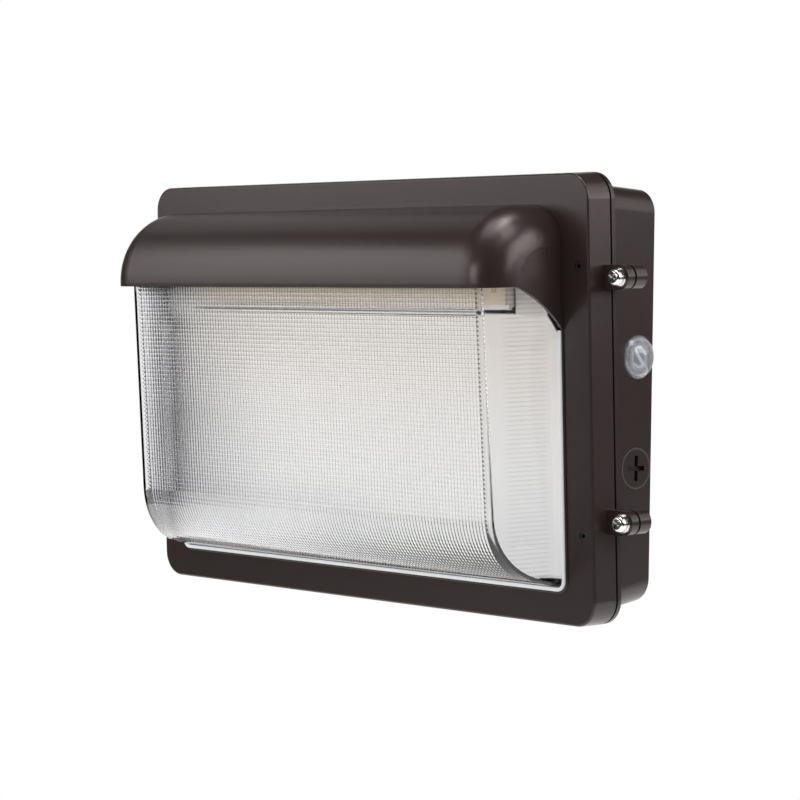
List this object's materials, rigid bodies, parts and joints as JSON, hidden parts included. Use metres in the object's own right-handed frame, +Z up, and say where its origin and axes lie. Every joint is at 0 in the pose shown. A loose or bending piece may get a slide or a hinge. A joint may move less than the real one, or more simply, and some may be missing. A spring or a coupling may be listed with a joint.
{
  "type": "wall pack light",
  "caption": "Wall-mounted outdoor luminaire with a wedge-shaped housing, hinged hooded door, clear prismatic lens and side photocell.",
  "frame": {"origin": "centre of the housing's flat back face, on the wall", "axes": "+X to the right when facing the light, +Y into the wall, +Z up"},
  "size_m": [0.3885, 0.1107, 0.2362],
  "materials": {
    "bronze_paint": "fine textured dark bronze powder coat",
    "clear_prism": "clear prismatic polycarbonate",
    "clear_dome": "clear polycarbonate dome",
    "black_rubber": "matte",
    "bright_steel": "polished stainless steel",
    "plain_steel": "zinc plated",
    "black_steel": "black oxide",
    "white_paint": "white high-reflectance paint",
    "tray_aluminium": "mill finish",
    "board_white": "white solder mask",
    "phosphor": "yellow phosphor",
    "white_plastic": "satin",
    "black_plastic": "fine grain",
    "driver_case": "satin",
    "wire_black": "smooth insulation",
    "wire_white": "smooth insulation",
    "wire_red": "smooth insulation",
    "wire_blue": "smooth insulation",
    "wire_green": "smooth insulation",
    "connector_orange": "ribbed",
    "copper_tin": "tinned copper"
  },
  "bodies": {
    "housing": {"housing": "bronze_paint", "seam_gasket": "black_rubber", "wall_seal": "black_rubber", "hinge_pins": "plain_steel", "conduit_plugs": "bronze_paint", "photocell_base": "black_plastic", "photocell_dome": "clear_dome", "photocell_sensor": "white_plastic", "tray": "tray_aluminium", "tray_screws": "plain_steel", "light_board": "board_white", "light_packages": "phosphor", "board_connector": "white_plastic", "board_screws": "plain_steel", "reflector": "white_paint", "reflector_screws": "white_paint", "driver": "driver_case", "driver_screws": "plain_steel", "wire_connectors": "connector_orange", "leads_black": "wire_black", "leads_white": "wire_white", "leads_red": "wire_red", "lead_blue": "wire_blue", "ground_lug": "copper_tin", "lead_green": "wire_green", "ground_screw": "plain_steel"},
    "door": {"door": "bronze_paint", "lens": "clear_prism", "lens_gasket": "black_rubber", "lens_clips": "plain_steel", "lens_clip_screws": "plain_steel", "face_screws": "black_steel"},
    "washers_upper": {"cover_washers_upper": "bright_steel"},
    "screw_upper": {"cover_screw_upper": "bright_steel"},
    "washers_lower": {"cover_washers_lower": "bright_steel"},
    "screw_lower": {"cover_screw_lower": "bright_steel"}
  },
  "joints": [
    {"name": "door_hinge", "type": "hinge", "parent": "housing", "child": "door", "pos_m": [-0.1864, -0.03757, -0.00217], "axis": [0, 0.0506, -0.9987], "range_deg": [0, 110]},
    {"name": "screw_upper_travel", "type": "slide", "parent": "door", "child": "washers_upper", "axis": [0, -0.9987, -0.0506], "range_m": [0, 0.006]},
    {"name": "screw_upper_turn", "type": "hinge", "parent": "washers_upper", "child": "screw_upper", "pos_m": [0.1917, -0.04654, 0.06116], "axis": [0, -0.9987, -0.0506], "range_deg": [0, 3086]},
    {"name": "screw_lower_travel", "type": "slide", "parent": "door", "child": "washers_lower", "axis": [0, -0.9987, -0.0506], "range_m": [0, 0.006]},
    {"name": "screw_lower_turn", "type": "hinge", "parent": "washers_lower", "child": "screw_lower", "pos_m": [0.1917, -0.04013, -0.06528], "axis": [0, -0.9987, -0.0506], "range_deg": [0, 3086]}
  ],
  "couplings": [
    {"joint": "screw_upper_turn", "follows": "screw_upper_travel", "rad_per_m": 8976},
    {"joint": "screw_lower_turn", "follows": "screw_lower_travel", "rad_per_m": 8976}
  ]
}
